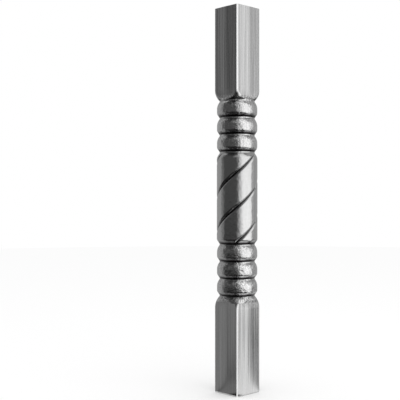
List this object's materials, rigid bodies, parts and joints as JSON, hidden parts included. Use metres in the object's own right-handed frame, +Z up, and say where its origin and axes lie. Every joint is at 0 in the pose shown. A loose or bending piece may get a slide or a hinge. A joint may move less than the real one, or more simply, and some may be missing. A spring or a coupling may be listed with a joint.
{
  "type": "railing post",
  "caption": "Square stainless tube railing post with rolled round rings either side of a round middle twisted in spiral lobes.",
  "frame": {"origin": "centre of the post's foot, on the floor", "axes": "+Z up the post, X and Y square to the flats of its square ends"},
  "size_m": [0.0956, 0.0956, 0.9],
  "materials": {
    "stainless_steel": "brushed along the square tube, bright on the rolled rings and the twist"
  },
  "bodies": {
    "root": {"post": "stainless_steel"}
  },
  "joints": []
}
